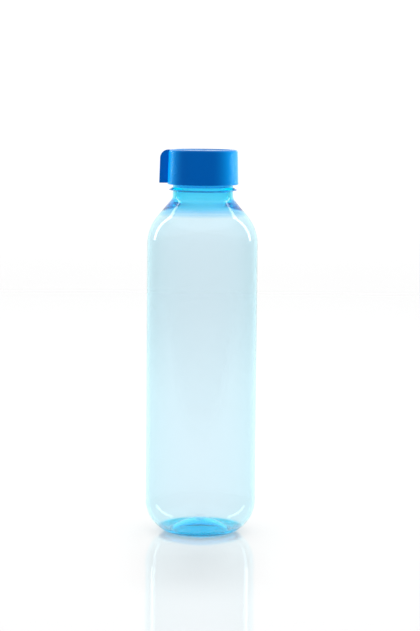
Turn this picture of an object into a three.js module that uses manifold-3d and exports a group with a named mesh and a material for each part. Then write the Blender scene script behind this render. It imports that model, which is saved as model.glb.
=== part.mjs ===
// A screw-cap drinking bottle: a blow-moulded clear bottle, its moulded cap and the seal between them.
// Millimetres, +Z up. The origin is the middle of the foot, on the bottle's axis.
import * as THREE from 'three';
import { mergeVertices } from 'three/addons/utils/BufferGeometryUtils.js';
import Module from 'manifold-3d';

// ---- Bottle ----
const bodyRadius = 33;
const shoulderStart = 174; // height where the straight wall ends
const cornerRadius = 21; // round corner between the wall and the foot
const cornerCentreHeight = 19.5; // a little less than the radius, so the corner meets the foot at an edge
const footWidth = 3; // flat ring that the bottle stands on
const pushUpHeight = 6; // domed middle of the base
const shoulderRadius = 26;
const shoulderLean = THREE.MathUtils.degToRad(40); // slope of the upper shoulder, from the axis
const neckFillet = 4;
const neckRadius = 18;
const bodyWall = 0.45;
const baseWall = 2;
const neckWall = 2.3;
const heelFade = 3.5; // height at which the thick base has thinned to the body's wall
const neckFade = 9; // how far below the neck its thick wall has thinned to the body's wall

// ---- Neck ring, thread and lip ----
const bareNeckHeight = 3; // between the shoulder and the neck ring
const ringReach = 2.2;
const ringEdge = 0.5;
const ringLowerSlope = 0.4;
const ringUpperSlope = 1.2;
const finishHeight = 18.75; // from the neck ring to the lip
const lipChamfer = 0.6;
const threadStarts = 3;
const threadLead = 9.525; // rise in one full turn
const threadHeight = 0.9;
const threadFlank = THREE.MathUtils.degToRad(20); // slope of a thread's sides
const threadPlay = 0.45; // along the axis, between a cap thread and the neck threads above and below it
const neckThreadSweep = 240; // degrees that each neck thread runs round
const neckThreadBelowLip = 2.5;
const capThreadSweep = 120;
const capThreadOffset = 45; // degrees from the lower end of a neck thread to that of a cap thread
const threadFade = 22.5; // degrees over which a thread's end runs out

// ---- Cap ----
const runningGap = 0.35; // radial, between a thread's crest and the wall that faces it
const seatGap = 0.3; // above and below the seal
const capWall = 1.25;
const capDraft = THREE.MathUtils.degToRad(1.7);
const capTopThickness = 1.6;
const capEdgeRadius = 1.5;
const capAboveRing = 1.75;
const capLeadIn = 0.5; // chamfer inside the open end
const panelInset = 3; // from the cap's edge to its recessed top panel
const panelDepth = 0.4;
const skirtWall = 1; // inner skirt that enters the neck
const skirtGap = 0.5;
const skirtDepth = 3; // below the lip
const lugReach = 5; // grip lug on the side of the cap
const lugWidth = 4;
const lugAboveRim = 0.7; // above the cap's open end

// ---- Seal ----
const sealThickness = 1.3;
const sealSideGap = 0.3;

// ---- Fineness ----
const sidesAround = 48;
const embed = 0.3; // how deep a joined piece starts inside the wall that carries it

// ---- Derived sizes ----
const cornerCentreRadius = bodyRadius - cornerRadius;
const footOuterRadius = cornerCentreRadius + Math.sqrt(cornerRadius ** 2 - cornerCentreHeight ** 2);
const footInnerRadius = footOuterRadius - footWidth;
const domeRadius = (footInnerRadius ** 2 + pushUpHeight ** 2) / (2 * pushUpHeight);
const domeCentreHeight = pushUpHeight - domeRadius;
const shoulderCentreRadius = bodyRadius - shoulderRadius;
const slopeRun =
  shoulderCentreRadius + shoulderRadius * Math.cos(shoulderLean)
  - (neckRadius + neckFillet * (1 - Math.cos(shoulderLean)));
const slopeRise = slopeRun / Math.tan(shoulderLean);
const neckStart = shoulderStart + (shoulderRadius + neckFillet) * Math.sin(shoulderLean) + slopeRise;
const ringBottom = neckStart + bareNeckHeight;
const ringTop = ringBottom + ringLowerSlope + ringEdge + ringUpperSlope;
const lipHeight = ringTop + finishHeight;
const boreRadius = neckRadius - neckWall;
const threadPitch = threadLead / threadStarts;
const threadRise = threadLead / 360; // per degree
const threadBottom = lipHeight - neckThreadBelowLip - neckThreadSweep * threadRise;
const sealBottom = lipHeight + seatGap;
const capCeiling = sealBottom + sealThickness + seatGap;
const capTop = capCeiling + capTopThickness;
const capBottom = ringTop + capAboveRing;
const capInnerRadius = neckRadius + threadHeight + runningGap;
const capTopRadius = capInnerRadius + capWall;
const capRadiusAt = (height) => capTopRadius + (capTop - height) * Math.tan(capDraft);
const skirtOuterRadius = boreRadius - skirtGap;
const threadMidRadius = (neckRadius + capInnerRadius) / 2; // where both threads are equally wide
const threadMidWidth = threadPitch / 2 - threadPlay;

const wasm = await Module();
wasm.setup();

// Points of an arc about (radius, height), from one angle to another, measured from the radial direction.
function arc(centreRadius, centreHeight, arcRadius, fromAngle, toAngle, steps) {
  return Array.from({ length: steps + 1 }, (_, i) => {
    const angle = THREE.MathUtils.lerp(fromAngle, toAngle, i / steps);
    return new THREE.Vector2(
      centreRadius + arcRadius * Math.cos(angle),
      centreHeight + arcRadius * Math.sin(angle),
    );
  });
}

const at = (radius, height) => new THREE.Vector2(radius, height);

// A profile turned about the bottle's axis.
function turned(profile) {
  return new THREE.LatheGeometry(profile, sidesAround).rotateX(Math.PI / 2);
}

function toSolid(geometry) {
  const bare = geometry.clone();
  bare.deleteAttribute('normal');
  bare.deleteAttribute('uv');
  const merged = mergeVertices(bare, 1e-4);
  const corners = merged.index.array;
  const kept = [];
  for (let i = 0; i < corners.length; i += 3) {
    const [a, b, c] = corners.slice(i, i + 3);
    if (a !== b && b !== c && c !== a) kept.push(a, b, c);
  }
  return new wasm.Manifold(new wasm.Mesh({
    numProp: 3,
    vertProperties: new Float32Array(merged.attributes.position.array),
    triVerts: new Uint32Array(kept),
  }));
}

function toGeometry(solid) {
  const { vertProperties, triVerts } = solid.getMesh();
  const geometry = new THREE.BufferGeometry();
  geometry.setAttribute('position', new THREE.BufferAttribute(vertProperties, 3));
  geometry.setIndex(new THREE.BufferAttribute(triVerts, 1));
  geometry.computeVertexNormals();
  return geometry;
}

// A straight bar bent along a helix. Its sides slope and its ends run out into the wall.
function threadRib({ wallRadius, crestRadius, fromAngle, sweep, bottom }) {
  const towardsCrest = Math.sign(crestRadius - wallRadius);
  const rootRadius = wallRadius - towardsCrest * embed;
  const endFullness = embed / Math.abs(crestRadius - rootRadius) / 2; // still hidden in the wall
  const steps = Math.round((sweep * sidesAround) / 360);
  const rib = new THREE.BoxGeometry(1, 1, 1, 1, steps, 1).translate(0.5, 0.5, 0);
  const places = rib.attributes.position;
  for (let i = 0; i < places.count; i += 1) {
    const along = places.getY(i) * sweep;
    const fromRoot = towardsCrest > 0 ? places.getX(i) : 1 - places.getX(i);
    const toNearEnd = Math.min(along, sweep - along);
    const fullness = THREE.MathUtils.lerp(endFullness, 1, Math.min(1, toNearEnd / threadFade));
    const radius = THREE.MathUtils.lerp(rootRadius, crestRadius, fromRoot * fullness);
    const belowMid = towardsCrest * (threadMidRadius - radius);
    const width = threadMidWidth + 2 * Math.tan(threadFlank) * belowMid;
    const angle = THREE.MathUtils.degToRad(fromAngle + along);
    const height = bottom + along * threadRise + places.getZ(i) * width;
    places.setXYZ(i, radius * Math.cos(angle), radius * Math.sin(angle), height);
  }
  return toSolid(rib);
}

function withThreads(solid, rib) {
  let joined = solid;
  for (let start = 0; start < threadStarts; start += 1) {
    const fromAngle = rib.fromAngle + (start * 360) / threadStarts;
    joined = joined.add(threadRib({ ...rib, fromAngle }));
  }
  return joined;
}

// The bottle's wall gets thicker towards the base and the neck.
function wallAt(height) {
  const nearBase = 1 - THREE.MathUtils.smoothstep(height, 0, heelFade);
  const nearNeck = THREE.MathUtils.smoothstep(height, neckStart - neckFade, neckStart);
  return bodyWall + (baseWall - bodyWall) * nearBase + (neckWall - bodyWall) * nearNeck;
}

// One stretch of the bottle's outline with the matching stretch inside its wall.
function wallStretch(centreRadius, centreHeight, arcRadius, fromAngle, toAngle, steps, bulge = 1) {
  const outer = arc(centreRadius, centreHeight, arcRadius, fromAngle, toAngle, steps);
  const centre = at(centreRadius, centreHeight);
  const inner = outer.map((point) => {
    const outward = point.clone().sub(centre).normalize().multiplyScalar(bulge);
    return point.clone().addScaledVector(outward, -wallAt(point.y));
  });
  return { outer, inner };
}

function bottle() {
  const footAngle = -Math.asin(cornerCentreHeight / cornerRadius);
  const domeEdge = Math.asin(-domeCentreHeight / domeRadius);
  const corner = wallStretch(cornerCentreRadius, cornerCentreHeight, cornerRadius, footAngle, 0, 10);
  const shoulder = wallStretch(shoulderCentreRadius, shoulderStart, shoulderRadius, 0, shoulderLean, 8);
  const neck = wallStretch(
    neckRadius + neckFillet, neckStart, neckFillet, Math.PI + shoulderLean, Math.PI, 3, -1,
  );
  const slopeTop = neck.outer[0];
  const slopeBottom = shoulder.outer[shoulder.outer.length - 1];
  const slope = [0.2, 0.4, 0.6, 0.8].map((share) => slopeBottom.clone().lerp(slopeTop, share));
  const inwards = at(-Math.cos(shoulderLean), -Math.sin(shoulderLean));
  const slopeInside = slope.map((point) => point.clone().addScaledVector(inwards, wallAt(point.y)));
  const ring = [
    at(neckRadius, ringBottom),
    at(neckRadius + ringReach, ringBottom + ringLowerSlope),
    at(neckRadius + ringReach, ringBottom + ringLowerSlope + ringEdge),
    at(neckRadius, ringTop),
  ];
  const lip = [
    at(neckRadius, lipHeight - lipChamfer),
    at(neckRadius - lipChamfer, lipHeight),
    at(boreRadius + lipChamfer, lipHeight),
    at(boreRadius, lipHeight - lipChamfer),
  ];
  const profile = [
    ...arc(0, domeCentreHeight, domeRadius, Math.PI / 2, domeEdge, 6),
    ...corner.outer,
    ...shoulder.outer,
    ...slope,
    ...neck.outer,
    ...ring,
    ...lip,
    ...neck.inner.reverse(),
    ...slopeInside.reverse(),
    ...shoulder.inner.reverse(),
    ...corner.inner.reverse(),
    ...arc(0, domeCentreHeight, domeRadius + baseWall, domeEdge, Math.PI / 2, 6),
  ];
  return withThreads(toSolid(turned(profile)), {
    wallRadius: neckRadius,
    crestRadius: neckRadius + threadHeight,
    fromAngle: 0,
    sweep: neckThreadSweep,
    bottom: threadBottom,
  });
}

// Side view of the lug: its top is a quarter round about the cap's wall, and its face follows the draft.
function lug() {
  const bottomHeight = capBottom + lugAboveRim;
  const roundCentre = capTop - lugReach;
  const wallAtRound = capRadiusAt(roundCentre);
  const outline = new THREE.Shape([
    at(neckRadius, bottomHeight),
    at(capRadiusAt(bottomHeight) + lugReach, bottomHeight),
    ...arc(wallAtRound, roundCentre, lugReach, 0, Math.PI / 2, 8),
    at(neckRadius, capTop),
  ]);
  return extrudedAcross(outline, lugWidth);
}

// A side outline (radius, height) given a width, centred on the -X side of the axis.
function extrudedAcross(outline, width) {
  const slab = new THREE.ExtrudeGeometry(outline, { depth: width, bevelEnabled: false });
  slab.translate(0, 0, -width / 2).rotateX(Math.PI / 2).rotateZ(Math.PI);
  return toSolid(slab);
}

function cap() {
  const edgeTangent = capTop - capEdgeRadius;
  const panelRadius = capTopRadius - panelInset;
  const shell = turned([
    at(0, capCeiling),
    at(skirtOuterRadius - skirtWall, capCeiling),
    at(skirtOuterRadius - skirtWall, lipHeight - skirtDepth),
    at(skirtOuterRadius, lipHeight - skirtDepth),
    at(skirtOuterRadius, capCeiling),
    at(capInnerRadius, capCeiling),
    at(capInnerRadius, capBottom + capLeadIn),
    at(capInnerRadius + capLeadIn, capBottom),
    at(capRadiusAt(capBottom), capBottom),
    ...arc(capRadiusAt(edgeTangent) - capEdgeRadius, edgeTangent, capEdgeRadius, 0, Math.PI / 2, 4),
    at(panelRadius, capTop),
    at(panelRadius - panelDepth, capTop - panelDepth),
    at(0, capTop - panelDepth),
  ]);
  const inside = turned([
    at(0, capBottom - 1),
    at(capInnerRadius, capBottom - 1),
    at(capInnerRadius, capCeiling),
    at(0, capCeiling),
  ]);
  const withLug = toSolid(shell).add(lug().subtract(toSolid(inside)));
  return withThreads(withLug, {
    wallRadius: capInnerRadius,
    crestRadius: neckRadius + runningGap,
    fromAngle: capThreadOffset,
    sweep: capThreadSweep,
    bottom: threadBottom + capThreadOffset * threadRise - threadPitch / 2,
  });
}

function seal() {
  const innerRadius = skirtOuterRadius + sealSideGap;
  const outerRadius = capInnerRadius - sealSideGap;
  return turned([
    at(innerRadius, sealBottom),
    at(outerRadius, sealBottom),
    at(outerRadius, sealBottom + sealThickness),
    at(innerRadius, sealBottom + sealThickness),
    at(innerRadius, sealBottom),
  ]);
}

function named(name, geometry, material) {
  const mesh = new THREE.Mesh(geometry, material);
  mesh.name = name;
  return mesh;
}

const clearBlue = new THREE.MeshStandardMaterial({
  color: 0x9fdcf2, roughness: 0.05, metalness: 0, transparent: true, opacity: 0.45,
});
const capBlue = new THREE.MeshStandardMaterial({ color: 0x0055b0, roughness: 0.25, metalness: 0 });
const sealWhite = new THREE.MeshStandardMaterial({ color: 0xe8ecee, roughness: 0.6, metalness: 0 });

const group = new THREE.Group();
group.add(named('bottle_body', toGeometry(bottle()), clearBlue));
group.add(named('screw_cap', toGeometry(cap()), capBlue));
group.add(named('seal_ring', seal(), sealWhite));

export default group;
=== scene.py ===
import math

import bmesh
import bpy
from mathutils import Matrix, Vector


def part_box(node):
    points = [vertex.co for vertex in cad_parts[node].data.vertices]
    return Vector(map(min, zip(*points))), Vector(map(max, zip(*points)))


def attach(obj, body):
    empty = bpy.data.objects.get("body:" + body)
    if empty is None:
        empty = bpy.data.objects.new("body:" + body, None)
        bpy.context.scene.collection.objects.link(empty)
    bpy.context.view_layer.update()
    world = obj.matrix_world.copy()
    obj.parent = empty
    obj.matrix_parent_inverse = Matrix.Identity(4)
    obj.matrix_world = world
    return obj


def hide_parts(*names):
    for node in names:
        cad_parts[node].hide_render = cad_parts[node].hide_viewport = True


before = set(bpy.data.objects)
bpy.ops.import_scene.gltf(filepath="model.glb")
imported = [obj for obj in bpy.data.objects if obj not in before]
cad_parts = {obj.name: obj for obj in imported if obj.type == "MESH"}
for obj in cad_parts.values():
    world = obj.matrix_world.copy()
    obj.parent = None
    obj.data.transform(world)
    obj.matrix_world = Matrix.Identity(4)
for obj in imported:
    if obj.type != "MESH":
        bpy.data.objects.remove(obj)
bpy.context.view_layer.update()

MM = 0.001

# ---- Places and sizes that the frame gives, in metres ----
_, BOTTLE_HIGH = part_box("bottle_body")
CAP_LOW, CAP_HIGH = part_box("screw_cap")
SEAL_LOW, SEAL_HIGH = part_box("seal_ring")
BODY_RADIUS = BOTTLE_HIGH.x
LIP_HEIGHT = BOTTLE_HIGH.z
CAP_BOTTOM = CAP_LOW.z
CAP_TOP = CAP_HIGH.z
CAP_BOTTOM_RADIUS = CAP_HIGH.x

# ---- Bottle ----
CORNER_RADIUS = 21 * MM
CORNER_CENTRE_HEIGHT = 19.5 * MM
FOOT_WIDTH = 3 * MM
FOOT_EDGE_ROUND = 1.2 * MM
PUSH_UP_HEIGHT = 6 * MM
SHOULDER_START = 174 * MM
SHOULDER_RADIUS = 26 * MM
SHOULDER_LEAN = math.radians(40)
NECK_RADIUS = 18 * MM
NECK_FILLET = 4 * MM
BODY_WALL = 0.45 * MM
BASE_WALL = 2 * MM
NECK_WALL = 2.3 * MM
HEEL_FADE = 3.5 * MM
NECK_FADE = 9 * MM
DEEP_TINT_HEIGHT = 191.5 * MM
DEEP_TINT_RADIUS = 24.5 * MM
DEEP_TINT_BLUR = 0.8 * MM
TINT_BLUR = 1 * MM
BASE_TINT_FADE = (20 * MM, 30 * MM)  # heights where the base's tint gives way to the neck's
GATE_RADIUS = 2 * MM
GATE_HEIGHT = 0.35 * MM
VALLEY_DROP = 0.1 * MM  # the inner face's lowest ring, below the inside of the foot
VALLEY_ROUND = 1.2 * MM
SLOPE_PIECES = 12
WALL_PIECES = 24

# ---- Neck ring, thread and lip ----
BARE_NECK_HEIGHT = 3 * MM
RING_REACH = 2.2 * MM
RING_EDGE = 0.5 * MM
RING_LOWER_SLOPE = 0.4 * MM
RING_UPPER_SLOPE = 1.2 * MM
RING_ROUND = 0.3 * MM
RING_EDGE_ROUND = RING_ROUND * 0.7
RING_ROOT_ROUND = RING_ROUND * 0.8
BELOW_RING = 0.6 * MM  # where the neck ring's outline takes over from the bare neck's
LIP_ROUND = 0.7 * MM
LIP_DEPTH = 1.5 * MM
THREAD_STARTS = 3
THREAD_LEAD = 9.525 * MM
THREAD_HEIGHT = 0.9 * MM
THREAD_FLANK = math.radians(20)
THREAD_PLAY = 0.45 * MM
NECK_THREAD_SWEEP = 240
NECK_THREAD_BELOW_LIP = 2.5 * MM
CAP_THREAD_SWEEP = 120
CAP_THREAD_OFFSET = 45
THREAD_FADE = 22.5
THREAD_CREST_ROUND = 0.22  # a share of the rib's height
RUNNING_GAP = 0.35 * MM
EMBED = 0.3 * MM

# ---- Cap ----
CAP_WALL = 1.25 * MM
CAP_TOP_THICKNESS = 1.6 * MM
CAP_EDGE_ROUND = 1.5 * MM
CAP_LEAD_IN = 0.5 * MM
CAP_LEAD_IN_ROUND = 0.12 * MM
CAP_RIM_ROUND = 0.25 * MM
CAP_INNER_ROUND = 0.15 * MM
PANEL_INSET = 3 * MM
PANEL_DEPTH = 0.4 * MM
PANEL_ROUND = 0.3 * MM
CAP_GATE_DEPTH = 0.15 * MM
CAP_GATE_ROUND = 0.2 * MM
SKIRT_WALL = 1 * MM
SKIRT_GAP = 0.5 * MM
SKIRT_DEPTH = 3 * MM
SKIRT_ROUND = 0.4 * MM
SKIRT_INNER_EDGE_ROUND = 0.3 * MM
LUG_REACH = 5 * MM
LUG_WIDTH = 4 * MM
LUG_ABOVE_RIM = 0.7 * MM
LUG_EDGE_ROUND = 0.35 * MM
LUG_BELOW_TOP = 0.02 * MM
LUG_ROOT_SHARE = 0.4  # how deep in the cap's wall the lug is rooted
LUG_TOP_REACH_IN = 1 * MM

# ---- Seal ----
SEAL_PLAY = 0.3 * MM
SEAL_EDGE_ROUND = 0.3 * MM

# ---- Derived ----
NECK_START = (
    SHOULDER_START
    + (SHOULDER_RADIUS + NECK_FILLET) * math.sin(SHOULDER_LEAN)
    + (
        BODY_RADIUS - SHOULDER_RADIUS * (1 - math.cos(SHOULDER_LEAN))
        - NECK_RADIUS - NECK_FILLET * (1 - math.cos(SHOULDER_LEAN))
    ) / math.tan(SHOULDER_LEAN)
)
RING_BOTTOM = NECK_START + BARE_NECK_HEIGHT
RING_TOP = RING_BOTTOM + RING_LOWER_SLOPE + RING_EDGE + RING_UPPER_SLOPE
BORE_RADIUS = NECK_RADIUS - NECK_WALL
CAP_INNER_RADIUS = NECK_RADIUS + THREAD_HEIGHT + RUNNING_GAP
CAP_TOP_RADIUS = CAP_INNER_RADIUS + CAP_WALL
CAP_CEILING = CAP_TOP - CAP_TOP_THICKNESS
CAP_DRAFT = (CAP_BOTTOM_RADIUS - CAP_TOP_RADIUS) / (CAP_TOP - CAP_BOTTOM)
SKIRT_OUTER_RADIUS = BORE_RADIUS - SKIRT_GAP
THREAD_PITCH = THREAD_LEAD / THREAD_STARTS
THREAD_MID_RADIUS = (NECK_RADIUS + CAP_INNER_RADIUS) / 2
THREAD_MID_WIDTH = THREAD_PITCH / 2 - THREAD_PLAY
THREAD_BOTTOM = LIP_HEIGHT - NECK_THREAD_BELOW_LIP - NECK_THREAD_SWEEP * THREAD_LEAD / 360

# ---- Tints, as the share of red, green and blue that gets through ----
ABSORBED_COLOUR = (0.0, 0.98, 0.998)
ABSORPTION_PER_METRE = 370
THIN_WALL_TINT = (0.97, 0.92, 0.96)
SHOULDER_TINT = (0.62, 0.8, 0.96)
# From the neck ring up: partly the thick unblown plastic's tint, partly a painted reflection of the blue
# cap above
NECK_TINT_AND_CAP_REFLECTION = (0.12, 0.58, 0.88)
BASE_TINT = (0.03, 0.76, 1)

# ---- Colours ----
CAP_DARKER, CAP_LIGHTER = (0.0, 0.1, 0.47), (0.0, 0.12, 0.52)
SEAL_DARKER, SEAL_LIGHTER = (0.78, 0.8, 0.82), (0.86, 0.87, 0.88)
TABLE_COLOUR = (0.93, 0.93, 0.93)

# ---- Studio ----
WHITE = (1, 1, 1)
CAP_FILL_COLOUR = (0.8, 1, 0.5)  # turns the cap's lit sides from blue towards cyan
STRIP_AZIMUTH = 119
BACKDROP_BRIGHTNESS = 1.06
ROOM_BRIGHTNESS = 0.36
CEILING_BRIGHTNESS = 0.8
SEEN_BRIGHTNESS = 1.04
TRAPPED_BRIGHTNESS = 1.4
TRAPPED_AFTER_BOUNCES = 7
TABLE_FRONT = -0.55
TABLE_BACK = 3.2
TABLE_SIDE = 2.2
TABLE_FRONT_FADE = 0.2
TABLE_FADE_START = 0.6

# ---- Camera ----
CAMERA_PLACE = (0.0049, -1.343, 0.2731)
CAMERA_TILT_DOWN = math.radians(6.04)
CAMERA_ROLL = math.radians(0.527)
CAMERA_LENS = 128.5
CAMERA_SENSOR = 36

# ---- Fineness ----
SIDES_AROUND = 240
ARC_STEP = math.radians(2.5)
SMALL_ARC_STEP = math.radians(15)
FILLET_STEP = math.radians(6)
MOULDED_ARC_STEP = math.radians(10)
WALL_BOUNCES = 96
MIRROR_BOUNCES = 64


def lerp(a, b, share):
    return a + (b - a) * share


def smoothstep(value, low, high):
    share = min(max((value - low) / (high - low), 0), 1)
    return share * share * (3 - 2 * share)


# ---------------------------------------------------------------- outlines
def arc(centre, radius, from_angle, to_angle, step=ARC_STEP):
    """Points of an arc in the (radius, height) plane, from one angle to another."""
    steps = max(2, math.ceil(abs(to_angle - from_angle) / step))
    angles = [lerp(from_angle, to_angle, i / steps) for i in range(steps + 1)]
    return [Vector((centre[0] + radius * math.cos(a), centre[1] + radius * math.sin(a))) for a in angles]


def rounded(corners, step=SMALL_ARC_STEP):
    """A polyline whose corners (radius, height, rounding) are rounded off."""
    points = []
    for i, (across, up, rounding) in enumerate(corners):
        here = Vector((across, up))
        if not rounding or i in (0, len(corners) - 1):
            points.append(here)
            continue
        before = (Vector(corners[i - 1][:2]) - here).normalized()
        after = (Vector(corners[i + 1][:2]) - here).normalized()
        half = before.angle(after) / 2
        centre = here + (before + after).normalized() * rounding / math.sin(half)
        start = here + before * rounding / math.tan(half) - centre
        end = here + after * rounding / math.tan(half) - centre
        turn = math.atan2(start.x * end.y - start.y * end.x, start.dot(end))
        first = math.atan2(start.y, start.x)
        points += arc(centre, rounding, first, first + turn, step)
    return points


def straight(start, end, pieces):
    """Points between two ends, without them."""
    return [start.lerp(end, i / pieces) for i in range(1, pieces)]


def wall_at(height):
    """The wall's thickness: thick at the base and the neck, and thin where the bottle was blown."""
    near_base = 1 - smoothstep(height, 0, HEEL_FADE)
    near_neck = smoothstep(height, NECK_START - NECK_FADE, NECK_START)
    return BODY_WALL + (BASE_WALL - BODY_WALL) * near_base + (NECK_WALL - BODY_WALL) * near_neck


def inside_of(points, centre=None, bulge=1):
    """The inner face's points that match a stretch of the outer face, in the same order."""
    inner = []
    for i, point in enumerate(points):
        if centre is None:
            along = points[min(i + 1, len(points) - 1)] - points[max(i - 1, 0)]
            outward = Vector((along.y, -along.x)).normalized()
        else:
            outward = (point - Vector(centre)).normalized() * bulge
        inner.append(point - outward * wall_at(point.y))
    return inner


# ---------------------------------------------------------------- meshes
def mesh_object(name, points, faces):
    mesh = bpy.data.meshes.new(name)
    mesh.from_pydata(points, [], faces)
    mesh.validate()
    obj = bpy.data.objects.new(name, mesh)
    bpy.context.scene.collection.objects.link(obj)
    return obj


def turned(name, outline, sides=SIDES_AROUND):
    """An outline in (radius, height) turned about the axis. It ends on the axis or closes on itself."""
    closed = (outline[0] - outline[-1]).length < 1e-9
    rows = outline[:-1] if closed else outline
    points, row_points = [], []
    for across, up in rows:
        if across < 1e-7:
            row_points.append([len(points)] * sides)
            points.append((0, 0, up))
            continue
        row_points.append(list(range(len(points), len(points) + sides)))
        for side in range(sides):
            angle = 2 * math.pi * side / sides
            points.append((across * math.cos(angle), across * math.sin(angle), up))
    faces = []
    for row in range(len(rows) if closed else len(rows) - 1):
        low, high = row_points[row], row_points[(row + 1) % len(rows)]
        for side in range(sides):
            following = (side + 1) % sides
            face = [low[side], low[following], high[following], high[side]]
            faces.append(list(dict.fromkeys(face)))
    return mesh_object(name, points, faces)


def extruded(name, outline, width, edge_round=0.0):
    """A side outline (radius, height) given a width, centred on the -X side of the axis."""
    count = len(outline)
    points = [(-p.x, y, p.y) for y in (-width / 2, width / 2) for p in outline]
    sides = [[i, (i + 1) % count, (i + 1) % count + count, i + count] for i in range(count)]
    faces = sides + [list(range(count))[::-1], list(range(count, 2 * count))]
    obj = mesh_object(name, points, faces)
    face_outwards(obj)
    if edge_round:
        bevel = obj.modifiers.new("edges", "BEVEL")
        bevel.width = edge_round
        bevel.segments = 4
        bevel.limit_method = "ANGLE"
        bevel.angle_limit = math.radians(30)
        bevel.use_clamp_overlap = True
        apply_modifiers(obj)
    return obj


def thread_rib(name, wall_radius, crest_radius, from_angle, sweep, bottom):
    """A rib along a helix. Its sides slope, its crest is rounded and its ends run out into the wall."""
    towards_crest = math.copysign(1, crest_radius - wall_radius)
    root_radius = wall_radius - towards_crest * EMBED
    end_fullness = EMBED / abs(crest_radius - root_radius) / 2
    crest_round = THREAD_CREST_ROUND
    section = [(0, -1), (1 - crest_round, -1), (1, -1 + crest_round * 1.6)]
    section += [(across, -side) for across, side in reversed(section)]
    steps = round(sweep * SIDES_AROUND / 360)
    points = []
    for step in range(steps + 1):
        along = sweep * step / steps
        share = min(1, min(along, sweep - along) / THREAD_FADE)
        fullness = lerp(end_fullness, 1, smoothstep(share, 0, 1))
        angle = math.radians(from_angle + along)
        middle = bottom + along * THREAD_LEAD / 360
        for across, side in section:
            radius = lerp(root_radius, crest_radius, across * fullness)
            flank_radius = lerp(root_radius, crest_radius, min(across, 1 - crest_round / 2) * fullness)
            below_mid = towards_crest * (THREAD_MID_RADIUS - flank_radius)
            half_width = (THREAD_MID_WIDTH + 2 * math.tan(THREAD_FLANK) * below_mid) / 2
            points.append((radius * math.cos(angle), radius * math.sin(angle), middle + side * half_width))
    count = len(section)
    faces = [list(range(count)), list(range(steps * count, (steps + 1) * count))]
    for step in range(steps):
        for i in range(count):
            here, beside = step * count + i, step * count + (i + 1) % count
            faces.append([here, beside, beside + count, here + count])
    obj = mesh_object(name, points, faces)
    face_outwards(obj)
    return obj


def face_outwards(obj):
    work = bmesh.new()
    work.from_mesh(obj.data)
    bmesh.ops.recalc_face_normals(work, faces=work.faces)
    if work.calc_volume(signed=True) < 0:
        bmesh.ops.reverse_faces(work, faces=work.faces)
    work.to_mesh(obj.data)
    work.free()


def apply_modifiers(obj):
    bpy.context.view_layer.update()
    shaped = obj.evaluated_get(bpy.context.evaluated_depsgraph_get())
    mesh = bpy.data.meshes.new_from_object(shaped)
    obj.modifiers.clear()
    obj.data = mesh
    mesh.name = obj.name


def combine(obj, others, operation):
    """Joins the other solids to obj, or cuts them from it, and removes them."""
    for other in others:
        step = obj.modifiers.new("combine", "BOOLEAN")
        step.operation = operation
        step.solver = "EXACT"
        step.object = other
    apply_modifiers(obj)
    for other in others:
        bpy.data.objects.remove(other)


def smooth(obj, sharp_angle=math.radians(35)):
    for polygon in obj.data.polygons:
        polygon.use_smooth = True
    obj.data.set_sharp_from_angle(angle=sharp_angle)


# ---------------------------------------------------------------- the three pieces
def base_outline():
    """The outer face of the base from the axis to the corner's top, and the inner face that matches it."""
    corner_centre = (BODY_RADIUS - CORNER_RADIUS, CORNER_CENTRE_HEIGHT)
    foot_outer = corner_centre[0] + math.sqrt(CORNER_RADIUS**2 - CORNER_CENTRE_HEIGHT**2)
    foot_inner = foot_outer - FOOT_WIDTH
    dome_radius = (foot_inner**2 + PUSH_UP_HEIGHT**2) / (2 * PUSH_UP_HEIGHT)
    dome_centre = (0, PUSH_UP_HEIGHT - dome_radius)
    dome_edge = math.asin(-dome_centre[1] / dome_radius)
    gate_edge = math.acos(GATE_RADIUS / dome_radius)
    foot_angle = -math.asin(CORNER_CENTRE_HEIGHT / CORNER_RADIUS)
    dome = arc(dome_centre, dome_radius, gate_edge, dome_edge)
    corner = arc(corner_centre, CORNER_RADIUS, foot_angle, 0)
    gate = rounded([
        (0, PUSH_UP_HEIGHT - GATE_HEIGHT, 0),
        (GATE_RADIUS * 0.6, PUSH_UP_HEIGHT - GATE_HEIGHT, GATE_HEIGHT / 2),
        (dome[0].x, dome[0].y, 0),
    ])
    foot = rounded([
        (dome[-2].x, dome[-2].y, 0),
        (foot_inner, 0, FOOT_EDGE_ROUND),
        (foot_outer, 0, FOOT_EDGE_ROUND),
        (corner[1].x, corner[1].y, 0),
    ])
    outer = gate[:-1] + dome[:-2] + foot + corner[2:]
    inner_corner = inside_of(corner, corner_centre)
    inner_dome = arc(dome_centre, dome_radius + BASE_WALL, dome_edge, math.pi / 2)
    valley = rounded([
        (inner_corner[1].x, inner_corner[1].y, 0),
        (inner_dome[0].x, inner_corner[0].y - VALLEY_DROP, VALLEY_ROUND),
        (inner_dome[2].x, inner_dome[2].y, 0),
    ])
    inner = inner_corner[:1:-1] + valley + inner_dome[3:]
    inner[-1].x = 0
    return outer, inner


def neck_outline():
    """The outer face above the bare neck: the neck ring, the wall that carries the thread, and the lip."""
    return rounded([
        (NECK_RADIUS, RING_BOTTOM - BELOW_RING, 0),
        (NECK_RADIUS, RING_BOTTOM, RING_ROOT_ROUND),
        (NECK_RADIUS + RING_REACH, RING_TOP - RING_UPPER_SLOPE - RING_EDGE, RING_EDGE_ROUND),
        (NECK_RADIUS + RING_REACH, RING_TOP - RING_UPPER_SLOPE, RING_EDGE_ROUND),
        (NECK_RADIUS, RING_TOP, RING_ROUND),
        (NECK_RADIUS, LIP_HEIGHT, LIP_ROUND),
        (BORE_RADIUS, LIP_HEIGHT, LIP_ROUND),
        (BORE_RADIUS, LIP_HEIGHT - LIP_DEPTH, 0),
    ])


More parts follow.
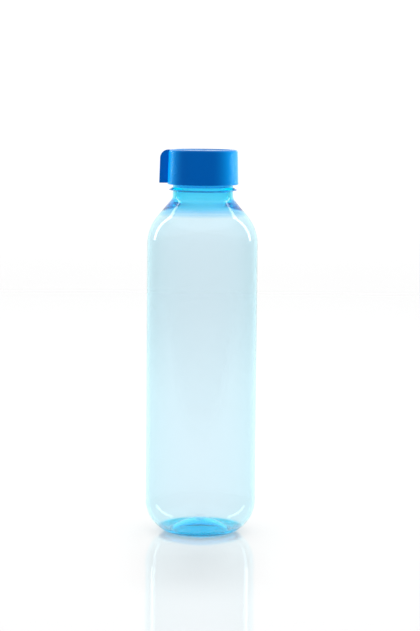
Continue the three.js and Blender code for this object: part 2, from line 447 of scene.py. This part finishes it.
def make_bottle():
    """The bottle turned from one outline, up the outside and down the inside, with its thread."""
    base_outer, base_inner = base_outline()
    shoulder_centre = (BODY_RADIUS - SHOULDER_RADIUS, SHOULDER_START)
    fillet_centre = (NECK_RADIUS + NECK_FILLET, NECK_START)
    shoulder = arc(shoulder_centre, SHOULDER_RADIUS, 0, SHOULDER_LEAN)
    fillet = arc(fillet_centre, NECK_FILLET, math.pi + SHOULDER_LEAN, math.pi, FILLET_STEP)
    slope = straight(shoulder[-1], fillet[0], SLOPE_PIECES)
    wall = straight(base_outer[-1], shoulder[0], WALL_PIECES)
    inner_slope = inside_of([shoulder[-1], *slope, fillet[0]])[1:-1]
    outline = base_outer + wall + shoulder + slope + fillet + neck_outline()
    outline += inside_of(fillet, fillet_centre, -1)[::-1] + inner_slope[::-1]
    outline += inside_of(shoulder, shoulder_centre)[::-1]
    outline += [Vector((p.x - wall_at(p.y), p.y)) for p in reversed(wall)] + base_inner
    bottle = turned("clear_bottle", outline)
    ribs = [
        thread_rib(
            f"neck_rib_{start}", NECK_RADIUS, NECK_RADIUS + THREAD_HEIGHT,
            start * 360 / THREAD_STARTS, NECK_THREAD_SWEEP, THREAD_BOTTOM,
        )
        for start in range(THREAD_STARTS)
    ]
    combine(bottle, ribs, "UNION")
    smooth(bottle)
    return bottle


def cap_radius_at(height):
    return CAP_TOP_RADIUS + (CAP_TOP - height) * CAP_DRAFT


def make_lug():
    """The grip lug on the cap's side, with a quarter-round top that meets the cap's top."""
    low = CAP_BOTTOM + LUG_ABOVE_RIM
    round_centre = CAP_TOP - LUG_REACH
    wall_radius = cap_radius_at(round_centre)
    embedded = CAP_INNER_RADIUS + CAP_WALL * LUG_ROOT_SHARE
    flush_top = CAP_TOP - LUG_BELOW_TOP
    innermost = CAP_INNER_RADIUS - LUG_TOP_REACH_IN
    above_ceiling = CAP_CEILING + EMBED
    top = arc((wall_radius, round_centre), LUG_REACH, 0, math.pi / 2)
    top[-1].y = flush_top
    outline = [Vector((embedded, low)), Vector((cap_radius_at(low) + LUG_REACH, low)), *top]
    outline += [
        Vector((innermost, flush_top)),
        Vector((innermost, above_ceiling)),
        Vector((embedded, above_ceiling)),
    ]
    return extruded("lug", outline, LUG_WIDTH, LUG_EDGE_ROUND)


def make_cap():
    """The cap turned from one outline, from its ceiling round its skirts and outside to its top."""
    panel_radius = CAP_TOP_RADIUS - PANEL_INSET
    skirt_bottom = LIP_HEIGHT - SKIRT_DEPTH
    skirt_inner = SKIRT_OUTER_RADIUS - SKIRT_WALL
    panel = CAP_TOP - PANEL_DEPTH
    outline = rounded([
        (0, CAP_CEILING, 0),
        (skirt_inner, CAP_CEILING, SKIRT_ROUND),
        (skirt_inner, skirt_bottom, SKIRT_INNER_EDGE_ROUND),
        (SKIRT_OUTER_RADIUS, skirt_bottom, SKIRT_ROUND),
        (SKIRT_OUTER_RADIUS, CAP_CEILING, CAP_INNER_ROUND),
        (CAP_INNER_RADIUS, CAP_CEILING, CAP_INNER_ROUND),
        (CAP_INNER_RADIUS, CAP_BOTTOM + CAP_LEAD_IN, 0),
        (CAP_INNER_RADIUS + CAP_LEAD_IN, CAP_BOTTOM, CAP_LEAD_IN_ROUND),
        (CAP_BOTTOM_RADIUS, CAP_BOTTOM, CAP_RIM_ROUND),
        (CAP_TOP_RADIUS, CAP_TOP, CAP_EDGE_ROUND),
        (panel_radius, CAP_TOP, PANEL_ROUND),
        (panel_radius - PANEL_DEPTH, panel, PANEL_ROUND),
        (GATE_RADIUS, panel, CAP_GATE_ROUND),
        (GATE_RADIUS * 0.8, panel - CAP_GATE_DEPTH, CAP_GATE_ROUND),
        (0, panel - CAP_GATE_DEPTH, 0),
    ], MOULDED_ARC_STEP)
    cap = turned("blue_cap", outline)
    ribs = [
        thread_rib(
            f"cap_rib_{start}", CAP_INNER_RADIUS, NECK_RADIUS + RUNNING_GAP,
            CAP_THREAD_OFFSET + start * 360 / THREAD_STARTS, CAP_THREAD_SWEEP,
            THREAD_BOTTOM + CAP_THREAD_OFFSET * THREAD_LEAD / 360 - THREAD_PITCH / 2,
        )
        for start in range(THREAD_STARTS)
    ]
    combine(cap, [make_lug(), *ribs], "UNION")
    smooth(cap)
    return cap


def make_seal():
    """A flat ring with rounded edges. It starts and ends at the middle of its lower face."""
    inner, outer = SKIRT_OUTER_RADIUS + SEAL_PLAY, SEAL_HIGH.x
    middle = (inner + outer) / 2
    outline = rounded([
        (middle, SEAL_LOW.z, 0),
        (outer, SEAL_LOW.z, SEAL_EDGE_ROUND),
        (outer, SEAL_HIGH.z, SEAL_EDGE_ROUND),
        (inner, SEAL_HIGH.z, SEAL_EDGE_ROUND),
        (inner, SEAL_LOW.z, SEAL_EDGE_ROUND),
        (middle, SEAL_LOW.z, 0),
    ], MOULDED_ARC_STEP)
    seal = turned("silicone_seal", outline)
    smooth(seal)
    return seal


# ---------------------------------------------------------------- materials
class Nodes:
    """A material's node tree with short calls for what the materials here need."""

    def __init__(self, name):
        self.material = bpy.data.materials.new(name)
        self.material.use_nodes = True
        self.tree = self.material.node_tree
        self.tree.nodes.clear()
        self.output = self.add("ShaderNodeOutputMaterial")
        self.place = self.add("ShaderNodeTexCoord").outputs["Object"]

    def add(self, kind, **settings):
        node = self.tree.nodes.new(kind)
        for key, value in settings.items():
            setattr(node, key, value)
        return node

    def link(self, source, target):
        self.tree.links.new(source, target)

    def stretched(self, scale):
        mapping = self.add("ShaderNodeMapping")
        mapping.inputs["Scale"].default_value = scale
        self.link(self.place, mapping.inputs["Vector"])
        return mapping.outputs["Vector"]

    def noise(self, scale, detail=2.0, stretch=(1, 1, 1)):
        node = self.add("ShaderNodeTexNoise")
        node.inputs["Scale"].default_value = scale
        node.inputs["Detail"].default_value = detail
        self.link(self.stretched(stretch), node.inputs["Vector"])
        return node.outputs["Fac"]

    def ranged(self, value, low, high, from_low=0.3, from_high=0.7):
        node = self.add("ShaderNodeMapRange")
        node.inputs["From Min"].default_value = from_low
        node.inputs["From Max"].default_value = from_high
        node.inputs["To Min"].default_value = low
        node.inputs["To Max"].default_value = high
        self.link(value, node.inputs["Value"])
        return node.outputs["Result"]

    def product(self, first, second):
        node = self.add("ShaderNodeMath", operation="MULTIPLY")
        self.link(first, node.inputs[0])
        self.link(second, node.inputs[1])
        return node.outputs["Value"]

    def largest(self, first, second):
        node = self.add("ShaderNodeMath", operation="MAXIMUM")
        self.link(first, node.inputs[0])
        self.link(second, node.inputs[1])
        return node.outputs["Value"]

    def mixed(self, share, first, second):
        """A blend of two colours, each of them plain or made by another node."""
        node = self.add("ShaderNodeMix", data_type="RGBA")
        self.link(share, node.inputs["Factor"])
        for name, colour in (("A", first), ("B", second)):
            if isinstance(colour, bpy.types.NodeSocket):
                self.link(colour, node.inputs[name])
            else:
                node.inputs[name].default_value = (*colour, 1)
        return node.outputs["Result"]

    def bump(self, height, strength, distance, normal=None):
        node = self.add("ShaderNodeBump")
        node.inputs["Strength"].default_value = strength
        node.inputs["Distance"].default_value = distance
        self.link(height, node.inputs["Height"])
        if normal is not None:
            self.link(normal, node.inputs["Normal"])
        return node.outputs["Normal"]

    def principled(self, **values):
        node = self.add("ShaderNodeBsdfPrincipled")
        for key, value in values.items():
            node.inputs[key.replace("_", " ")].default_value = value
        self.link(node.outputs["BSDF"], self.output.inputs["Surface"])
        return node


def clear_blue():
    """Clear plastic: thickness tints it a little, and the unblown neck and base are tinted by place. From
    the neck ring up, that tint is partly the thick plastic and partly a painted reflection of the blue cap
    above.
    """
    nodes = Nodes("clear_blue_plastic")
    shader = nodes.principled(Transmission_Weight=1.0, IOR=1.5)
    parts = nodes.add("ShaderNodeSeparateXYZ")
    nodes.link(nodes.place, parts.inputs["Vector"])
    height = parts.outputs["Z"]
    across = nodes.add("ShaderNodeVectorMath", operation="LENGTH")
    nodes.link(nodes.stretched((1, 1, 0)), across.inputs[0])
    upper = nodes.ranged(height, 0, 1, DEEP_TINT_HEIGHT - DEEP_TINT_BLUR, DEEP_TINT_HEIGHT + DEEP_TINT_BLUR)
    middle = nodes.ranged(
        across.outputs["Value"], 1, 0, DEEP_TINT_RADIUS - TINT_BLUR, DEEP_TINT_RADIUS + TINT_BLUR,
    )
    near_ring = nodes.ranged(height, 0, 1, RING_BOTTOM - TINT_BLUR, RING_BOTTOM)
    near_foot = nodes.ranged(height, 1, 0, *BASE_TINT_FADE)
    # From the neck ring up, the tint also paints in the blue cap's reflection
    neck_tint_and_cap_reflection = nodes.mixed(near_ring, SHOULDER_TINT, NECK_TINT_AND_CAP_REFLECTION)
    deep_tint_and_cap_reflection = nodes.mixed(near_foot, neck_tint_and_cap_reflection, BASE_TINT)
    shade = nodes.mixed(nodes.largest(upper, middle), THIN_WALL_TINT, deep_tint_and_cap_reflection)
    nodes.link(shade, shader.inputs["Base Color"])
    haze = nodes.noise(60, 3)
    nodes.link(nodes.ranged(haze, 0.012, 0.04), shader.inputs["Roughness"])
    ripple = nodes.noise(26, 1.5, (1, 1, 0.25))
    nodes.link(nodes.bump(ripple, 0.12, 0.4 * MM), shader.inputs["Normal"])
    absorption = nodes.add("ShaderNodeVolumeAbsorption")
    absorption.inputs["Color"].default_value = (*ABSORBED_COLOUR, 1)
    absorption.inputs["Density"].default_value = ABSORPTION_PER_METRE
    nodes.link(absorption.outputs["Volume"], nodes.output.inputs["Volume"])
    return nodes.material


def cap_blue():
    nodes = Nodes("glossy_blue_plastic")
    shader = nodes.principled(IOR=1.42, Specular_IOR_Level=0.35, Specular_Tint=(0.1, 0.9, 1, 1))
    cloud = nodes.noise(35, 3)
    nodes.link(nodes.mixed(cloud, CAP_DARKER, CAP_LIGHTER), shader.inputs["Base Color"])
    grain = nodes.noise(900, 2)
    nodes.link(nodes.ranged(cloud, 0.22, 0.3), shader.inputs["Roughness"])
    fine = nodes.bump(grain, 0.15, 0.02 * MM)
    nodes.link(nodes.bump(nodes.noise(120, 2), 0.1, 0.1 * MM, fine), shader.inputs["Normal"])
    return nodes.material


def seal_white():
    nodes = Nodes("white_silicone")
    shader = nodes.principled(IOR=1.41, Subsurface_Weight=0.2)
    shader.inputs["Subsurface Radius"].default_value = (1.2 * MM, 1.2 * MM, 1.2 * MM)
    shader.inputs["Subsurface Scale"].default_value = 1.0
    cloud = nodes.noise(80, 2)
    nodes.link(nodes.mixed(cloud, SEAL_DARKER, SEAL_LIGHTER), shader.inputs["Base Color"])
    nodes.link(nodes.ranged(cloud, 0.42, 0.58), shader.inputs["Roughness"])
    nodes.link(nodes.bump(nodes.noise(1500, 2), 0.2, 0.03 * MM), shader.inputs["Normal"])
    return nodes.material


def finish_piece(obj, node, body, material):
    obj.data.materials.clear()
    obj.data.materials.append(material)
    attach(obj, body)
    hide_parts(node)


# ---------------------------------------------------------------- stage, light and camera
def make_floor():
    """A glossy white table top whose edges fade into the white round it."""
    corners = [
        (-TABLE_SIDE, TABLE_FRONT, 0), (TABLE_SIDE, TABLE_FRONT, 0),
        (TABLE_SIDE, TABLE_BACK, 0), (-TABLE_SIDE, TABLE_BACK, 0),
    ]
    floor = mesh_object("floor", corners, [[0, 1, 2, 3]])
    nodes = Nodes("glossy_white_table")
    shader = nodes.principled(Base_Color=(*TABLE_COLOUR, 1), IOR=1.5)
    nodes.link(nodes.ranged(nodes.noise(3, 2), 0.04, 0.06), shader.inputs["Roughness"])
    parts = nodes.add("ShaderNodeSeparateXYZ")
    nodes.link(nodes.place, parts.inputs["Vector"])
    sideways = nodes.add("ShaderNodeMath", operation="ABSOLUTE")
    nodes.link(parts.outputs["X"], sideways.inputs[0])
    near = nodes.ranged(parts.outputs["Y"], 0, 1, TABLE_FRONT, TABLE_FRONT + TABLE_FRONT_FADE)
    far = nodes.ranged(parts.outputs["Y"], 1, 0, TABLE_FADE_START, TABLE_BACK)
    beside = nodes.ranged(sideways.outputs["Value"], 1, 0, TABLE_FADE_START, TABLE_SIDE)
    nodes.link(nodes.product(nodes.product(near, far), beside), shader.inputs["Alpha"])
    floor.data.materials.append(nodes.material)
    return floor


def make_world():
    """White where it is seen. Elsewhere a bright backdrop, a darker room in front and a bright ceiling.

    Light that comes out of the plastic only after many bounces gets a brighter surrounding of its own.
    """
    world = bpy.data.worlds.new("studio")
    world.use_nodes = True
    bpy.context.scene.world = world
    tree = world.node_tree
    tree.nodes.clear()

    def add(kind, **settings):
        node = tree.nodes.new(kind)
        for key, value in settings.items():
            setattr(node, key, value)
        return node

    def ranged(value, from_low, from_high, low, high):
        node = add("ShaderNodeMapRange", interpolation_type="SMOOTHSTEP")
        node.inputs["From Min"].default_value = from_low
        node.inputs["From Max"].default_value = from_high
        node.inputs["To Min"].default_value = low
        node.inputs["To Max"].default_value = high
        tree.links.new(value, node.inputs["Value"])
        return node.outputs["Result"]

    def largest(first, second):
        node = add("ShaderNodeMath", operation="MAXIMUM")
        tree.links.new(first, node.inputs[0])
        tree.links.new(second, node.inputs[1])
        return node.outputs["Value"]

    path = add("ShaderNodeLightPath")
    parts = add("ShaderNodeSeparateXYZ")
    tree.links.new(add("ShaderNodeTexCoord").outputs["Generated"], parts.inputs["Vector"])
    backdrop = ranged(parts.outputs["Y"], 0.3, 0.97, ROOM_BRIGHTNESS, BACKDROP_BRIGHTNESS)
    ceiling = ranged(parts.outputs["Z"], 0.5, 0.75, 0, CEILING_BRIGHTNESS)
    seen = ranged(path.outputs["Is Camera Ray"], 0, 1, 0, SEEN_BRIGHTNESS)
    bounces = TRAPPED_AFTER_BOUNCES
    trapped = ranged(path.outputs["Ray Depth"], bounces - 0.5, bounces + 0.5, 0, TRAPPED_BRIGHTNESS)
    background = add("ShaderNodeBackground")
    background.inputs["Color"].default_value = (*WHITE, 1)
    brightness = largest(largest(backdrop, ceiling), largest(seen, trapped))
    tree.links.new(brightness, background.inputs["Strength"])
    output = add("ShaderNodeOutputWorld")
    tree.links.new(background.outputs["Background"], output.inputs["Surface"])


def area_light(name, place, target, size, radiance, receivers, colour=WHITE):
    """A rectangular soft light for the named pieces only."""
    data = bpy.data.lights.new(name, "AREA")
    data.shape = "RECTANGLE"
    data.size, data.size_y = size
    data.color = colour
    data.energy = radiance * math.pi * size[0] * size[1]
    light = bpy.data.objects.new(name, data)
    bpy.context.scene.collection.objects.link(light)
    light.location = place
    light.rotation_mode = "QUATERNION"
    light.rotation_quaternion = (Vector(target) - Vector(place)).to_track_quat("-Z", "Y")
    light.visible_camera = False
    lit = bpy.data.collections.new(name + "_lit")
    for piece in receivers:
        lit.objects.link(piece)
    light.light_linking.receiver_collection = lit
    return light


def around(azimuth, distance, height):
    """A place at an azimuth from the camera's side, turning towards +X."""
    angle = math.radians(azimuth)
    return (math.sin(angle) * distance, -math.cos(angle) * distance, height)


def make_lights(bottle, cap, seal, floor):
    """Two strips that the clear wall mirrors, fills that shape the cap, and the light on the table."""
    cap_height = (0, 0, 0.19)

    def fill(name, place, target, size, radiance, piece, colour=WHITE, shadows=True):
        """A light that gives only diffuse light and is never mirrored or seen through the wall."""
        light = area_light(name, place, target, size, radiance, [piece], colour)
        light.visible_glossy = False
        light.visible_transmission = False
        light.data.use_shadow = shadows
        return light

    for side, name in ((-1, "left"), (1, "right")):
        place = around(side * STRIP_AZIMUTH, 1.0, 0.64)
        area_light(f"strip_{name}", place, (0, 0, 0.32), (0.15, 0.85), 4, [bottle, seal])
    fill("left_fill", around(-132, 0.7, 0.3), cap_height, (0.3, 0.5), 80, cap, CAP_FILL_COLOUR, False)
    fill("right_fill", around(117, 0.7, 0.3), cap_height, (0.4, 0.5), 50, cap, CAP_FILL_COLOUR)
    fill("front_fill", around(0, 1.2, 0.7), (0, 0, 0.2), (1, 0.6), 2.2, cap)
    overhead = fill("overhead", around(180, 0.55, 1.4), (0, 0, 0), (0.25, 0.5), 26, floor)
    shade = bpy.data.collections.new("overhead_shade")
    shade.objects.link(cap)
    overhead.light_linking.blocker_collection = shade
    fill("table_light", around(0, 0.3, 2), (0, 0.3, 0), (5, 5), 0.09, floor, shadows=False)
    fill("cap_top_fill", around(0, 0.1, 1.2), (0, 0, 0.2), (0.5, 0.5), 3, cap, CAP_FILL_COLOUR, False)


def make_camera():
    """A long lens a little above the bottle, tilted down and slightly rolled."""
    data = bpy.data.cameras.new("camera")
    data.lens = CAMERA_LENS
    data.sensor_width = CAMERA_SENSOR
    data.clip_end = 50
    camera = bpy.data.objects.new("camera", data)
    bpy.context.scene.collection.objects.link(camera)
    camera.location = CAMERA_PLACE
    camera.rotation_mode = "ZYX"
    camera.rotation_euler = (math.pi / 2 - CAMERA_TILT_DOWN, 0, CAMERA_ROLL)
    bpy.context.scene.camera = camera


def main():
    bottle, cap, seal = make_bottle(), make_cap(), make_seal()
    finish_piece(bottle, "bottle_body", "bottle", clear_blue())
    finish_piece(cap, "screw_cap", "cap", cap_blue())
    finish_piece(seal, "seal_ring", "seal", seal_white())
    make_world()
    make_lights(bottle, cap, seal, make_floor())
    make_camera()
    bpy.context.scene.view_settings.view_transform = "Standard"
    bpy.context.scene.cycles.max_bounces = WALL_BOUNCES
    bpy.context.scene.cycles.transmission_bounces = WALL_BOUNCES
    bpy.context.scene.cycles.glossy_bounces = MIRROR_BOUNCES


main()
